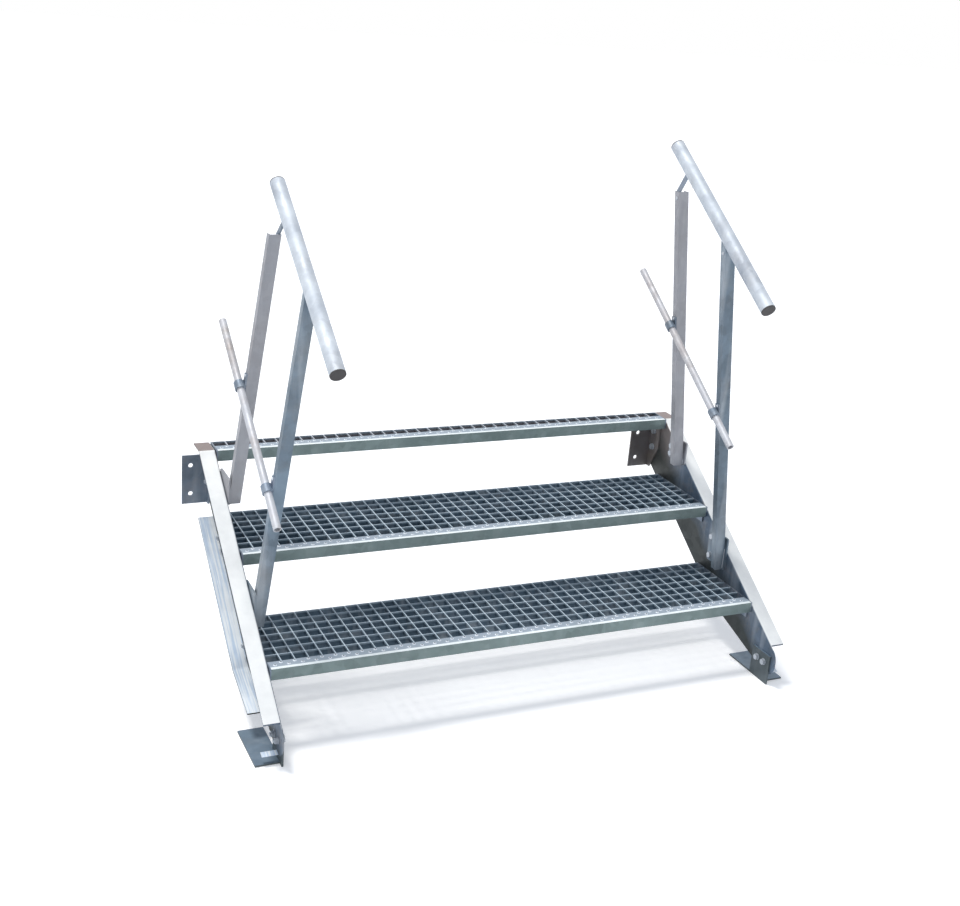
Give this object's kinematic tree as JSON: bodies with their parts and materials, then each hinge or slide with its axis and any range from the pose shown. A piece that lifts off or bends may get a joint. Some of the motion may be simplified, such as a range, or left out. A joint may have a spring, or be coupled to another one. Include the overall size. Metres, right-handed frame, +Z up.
{
  "type": "outdoor steel stair",
  "caption": "Short galvanised steel stair for fixing to a wall, with grating treads between channel stringers and a leaning railing on each side.",
  "frame": {"origin": "middle of the left wall bracket's flat back, on the wall's face", "axes": "+X from the left stringer to the right one as the stair is climbed, +Y toward the wall, +Z up"},
  "size_m": [1.324, 0.6576, 1.2212],
  "materials": {
    "grating_zinc": "hot-dip galvanised, dull",
    "nosing_zinc": "hot-dip galvanised, dull, bright along the edges",
    "end_plate_zinc": "hot-dip galvanised, dull",
    "stringer_zinc": "hot-dip galvanised with faint spangle and runs",
    "cap_plastic": "plain, slightly soiled",
    "handrail_zinc": "hot-dip galvanised, worn smooth",
    "knee_rail_zinc": "hot-dip galvanised",
    "post_zinc": "hot-dip galvanised, dull",
    "bracket_zinc": "hot-dip galvanised, dull"
  },
  "bodies": {
    "root": {"left_foot_bracket": "bracket_zinc", "left_handrail": "handrail_zinc", "left_handrail_lower_cap": "cap_plastic", "left_handrail_strap": "bracket_zinc", "left_handrail_upper_cap": "cap_plastic", "left_knee_rail": "knee_rail_zinc", "left_lower_clip": "bracket_zinc", "left_lower_post": "post_zinc", "left_stringer": "stringer_zinc", "left_upper_clip": "bracket_zinc", "left_upper_post": "post_zinc", "left_wall_bracket": "bracket_zinc", "right_foot_bracket": "bracket_zinc", "right_handrail": "handrail_zinc", "right_handrail_lower_cap": "cap_plastic", "right_handrail_strap": "bracket_zinc", "right_handrail_upper_cap": "cap_plastic", "right_knee_rail": "knee_rail_zinc", "right_lower_clip": "bracket_zinc", "right_lower_post": "post_zinc", "right_stringer": "stringer_zinc", "right_upper_clip": "bracket_zinc", "right_upper_post": "post_zinc", "right_wall_bracket": "bracket_zinc", "tread_1_grating": "grating_zinc", "tread_1_left_plate": "end_plate_zinc", "tread_1_nosing": "nosing_zinc", "tread_1_right_plate": "end_plate_zinc", "tread_2_grating": "grating_zinc", "tread_2_left_plate": "end_plate_zinc", "tread_2_nosing": "nosing_zinc", "tread_2_right_plate": "end_plate_zinc", "tread_3_grating": "grating_zinc", "tread_3_left_plate": "end_plate_zinc", "tread_3_nosing": "nosing_zinc", "tread_3_right_plate": "end_plate_zinc"}
  },
  "joints": []
}
